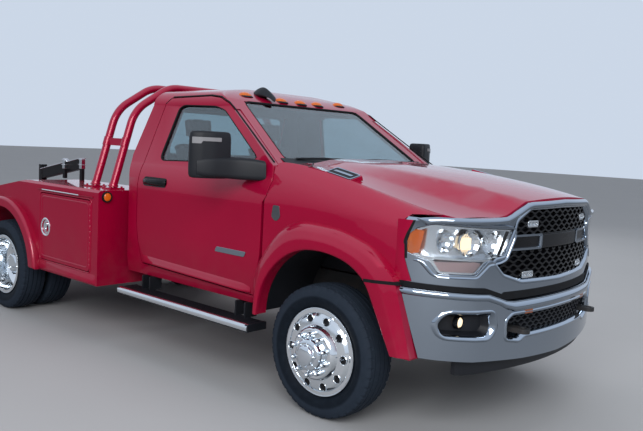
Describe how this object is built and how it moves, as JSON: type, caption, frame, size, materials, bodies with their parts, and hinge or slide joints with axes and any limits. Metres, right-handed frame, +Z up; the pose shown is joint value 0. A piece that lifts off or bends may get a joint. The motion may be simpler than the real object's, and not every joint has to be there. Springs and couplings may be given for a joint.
{
  "type": "tow truck",
  "caption": "Two-door wheel-lift tow truck with a tool-box body each side of a tow bay, a twin-tube light hoop behind the cab and a folding wheel lift.",
  "frame": {"origin": "centre of the plan box on the ground under the wheels", "axes": "+X forward, +Y to the truck's left, +Z up"},
  "size_m": [6.6449, 2.672, 2.0769],
  "materials": {
    "cherry_paint": "deep cherry red gloss enamel",
    "chassis_black": "black chassis paint",
    "tyre_rubber": "worn black rubber",
    "polished_aluminium": "polished",
    "tread_aluminium": "bright extruded",
    "window_glass": "lightly tinted",
    "bright_chrome": "mirror bright",
    "black_plastic": "grained black",
    "lamp_lens": "clear lens",
    "amber_lens": "amber lens",
    "red_lens": "red lens",
    "seat_cloth": "grey woven cloth",
    "cast_iron": "painted casting",
    "lift_steel": "black lift enamel",
    "bright_rod": "hard chromed rod",
    "flap_rubber": "plain black rubber"
  },
  "bodies": {
    "root": {"frame_rails": "chassis_black", "engine_block": "cast_iron", "front_axle": "chassis_black", "rear_axle": "chassis_black", "leaf_springs": "chassis_black", "prop_shaft": "chassis_black", "fuel_tank": "chassis_black", "cab_shell": "cherry_paint", "cab_glass": "window_glass", "fenders": "cherry_paint", "wheel_liners": "black_plastic", "grille_surround": "bright_chrome", "front_lamps": "lamp_lens", "grille_mesh": "black_plastic", "front_bumper": "bright_chrome", "air_dam": "black_plastic", "running_boards": "tread_aluminium", "marker_lamps": "amber_lens", "dashboard": "black_plastic", "seats": "seat_cloth", "tow_bodies": "cherry_paint", "deck": "tread_aluminium", "tailboard": "cherry_paint", "tail_lamps": "red_lens", "light_hoop": "cherry_paint", "strap_rack": "cherry_paint", "mud_flaps": "flap_rubber"},
    "knuckle_body_right": {"knuckle_right": "cast_iron"},
    "front_wheel_right": {"tyre_front_right": "tyre_rubber", "rim_front_right": "polished_aluminium"},
    "rear_wheels_right": {"tyres_rear_right": "tyre_rubber", "rims_rear_right": "polished_aluminium"},
    "cab_door_right": {"door_right": "cherry_paint", "door_glass_right": "window_glass", "door_fittings_right": "black_plastic"},
    "tool_lid_right": {"tool_door_right": "cherry_paint"},
    "arm_right": {"wheel_arm_right": "lift_steel"},
    "knuckle_body_left": {"knuckle_left": "cast_iron"},
    "front_wheel_left": {"tyre_front_left": "tyre_rubber", "rim_front_left": "polished_aluminium"},
    "rear_wheels_left": {"tyres_rear_left": "tyre_rubber", "rims_rear_left": "polished_aluminium"},
    "cab_door_left": {"door_left": "cherry_paint", "door_glass_left": "window_glass", "door_fittings_left": "black_plastic"},
    "tool_lid_left": {"tool_door_left": "cherry_paint"},
    "arm_left": {"wheel_arm_left": "lift_steel"},
    "steering_link": {"tie_rod": "chassis_black"},
    "bonnet": {"hood": "cherry_paint"},
    "boom": {"lift_boom": "lift_steel"},
    "extension": {"lift_extension": "lift_steel"},
    "bar": {"crossbar": "lift_steel"},
    "barrel": {"lift_cylinder": "lift_steel"},
    "rod": {"lift_rod": "bright_rod"}
  },
  "joints": [
    {"name": "steer_right", "type": "hinge", "parent": "root", "child": "knuckle_body_right", "pos_m": [2.2655, -0.745, 0.405], "axis": [0, 0, 1], "range_deg": [-35, 35]},
    {"name": "steer_left", "type": "hinge", "parent": "root", "child": "knuckle_body_left", "pos_m": [2.2655, 0.745, 0.405], "axis": [0, 0, 1], "range_deg": [-35, 35]},
    {"name": "tie_rod_turn", "type": "hinge", "parent": "knuckle_body_right", "child": "steering_link", "pos_m": [2.0955, -0.745, 0.295], "axis": [0, 0, 1], "range_deg": [-35, 35]},
    {"name": "front_wheel_spin_right", "type": "hinge", "parent": "knuckle_body_right", "child": "front_wheel_right", "pos_m": [2.2655, -0.91, 0.405], "axis": [0, 1, 0], "continuous": true},
    {"name": "rear_wheel_spin_right", "type": "hinge", "parent": "root", "child": "rear_wheels_right", "pos_m": [-1.4045, -0.973, 0.405], "axis": [0, 1, 0], "continuous": true},
    {"name": "cab_door_right_hinge", "type": "hinge", "parent": "root", "child": "cab_door_right", "pos_m": [1.7655, -0.996, 1], "axis": [0, 0, 1], "range_deg": [0, 65]},
    {"name": "tool_door_right_hinge", "type": "hinge", "parent": "root", "child": "tool_lid_right", "pos_m": [-0.0045, -1.183, 0.829], "axis": [0, 0, 1], "range_deg": [0, 110]},
    {"name": "front_wheel_spin_left", "type": "hinge", "parent": "knuckle_body_left", "child": "front_wheel_left", "pos_m": [2.2655, 0.91, 0.405], "axis": [0, 1, 0], "continuous": true},
    {"name": "rear_wheel_spin_left", "type": "hinge", "parent": "root", "child": "rear_wheels_left", "pos_m": [-1.4045, 0.973, 0.405], "axis": [0, 1, 0], "continuous": true},
    {"name": "cab_door_left_hinge", "type": "hinge", "parent": "root", "child": "cab_door_left", "pos_m": [1.7655, 0.996, 1], "axis": [0, 0, -1], "range_deg": [0, 65]},
    {"name": "tool_door_left_hinge", "type": "hinge", "parent": "root", "child": "tool_lid_left", "pos_m": [-0.0045, 1.183, 0.829], "axis": [0, 0, -1], "range_deg": [0, 110]},
    {"name": "hood_hinge", "type": "hinge", "parent": "root", "child": "bonnet", "pos_m": [1.8255, 0, 1.5], "axis": [0, -1, 0], "range_deg": [0, 50]},
    {"name": "boom_lift", "type": "hinge", "parent": "root", "child": "boom", "pos_m": [-2.2145, 0, 0.69], "axis": [0, 1, 0], "range_deg": [-12, 15]},
    {"name": "boom_extend", "type": "slide", "parent": "boom", "child": "extension", "axis": [-1, 0, 0], "range_m": [0, 0.45]},
    {"name": "crossbar_yaw", "type": "hinge", "parent": "extension", "child": "bar", "pos_m": [-3.2145, 0, 0.64], "axis": [0, 0, 1], "range_deg": [-5, 5]},
    {"name": "wheel_arm_right_swing", "type": "hinge", "parent": "bar", "child": "arm_right", "pos_m": [-3.2145, -0.78, 0.64], "axis": [0, 0, 1], "range_deg": [0, 90]},
    {"name": "wheel_arm_left_swing", "type": "hinge", "parent": "bar", "child": "arm_left", "pos_m": [-3.2145, 0.78, 0.64], "axis": [0, 0, -1], "range_deg": [0, 90]},
    {"name": "lift_barrel_tilt", "type": "hinge", "parent": "root", "child": "barrel", "pos_m": [-2.1645, 0, 0.4], "axis": [0, 1, 0], "range_deg": [-9.8, 12.3]},
    {"name": "lift_rod_stroke", "type": "slide", "parent": "barrel", "child": "rod", "axis": [-0.9823, 0, 0.1875], "range_m": [-0.058, 0.072]}
  ],
  "couplings": [
    {"joint": "steer_left", "follows": "steer_right", "ratio": 1},
    {"joint": "tie_rod_turn", "follows": "steer_right", "ratio": -1},
    {"joint": "lift_barrel_tilt", "follows": "boom_lift", "ratio": 0.815},
    {"joint": "lift_rod_stroke", "follows": "boom_lift", "m_per_rad": 0.2722}
  ]
}
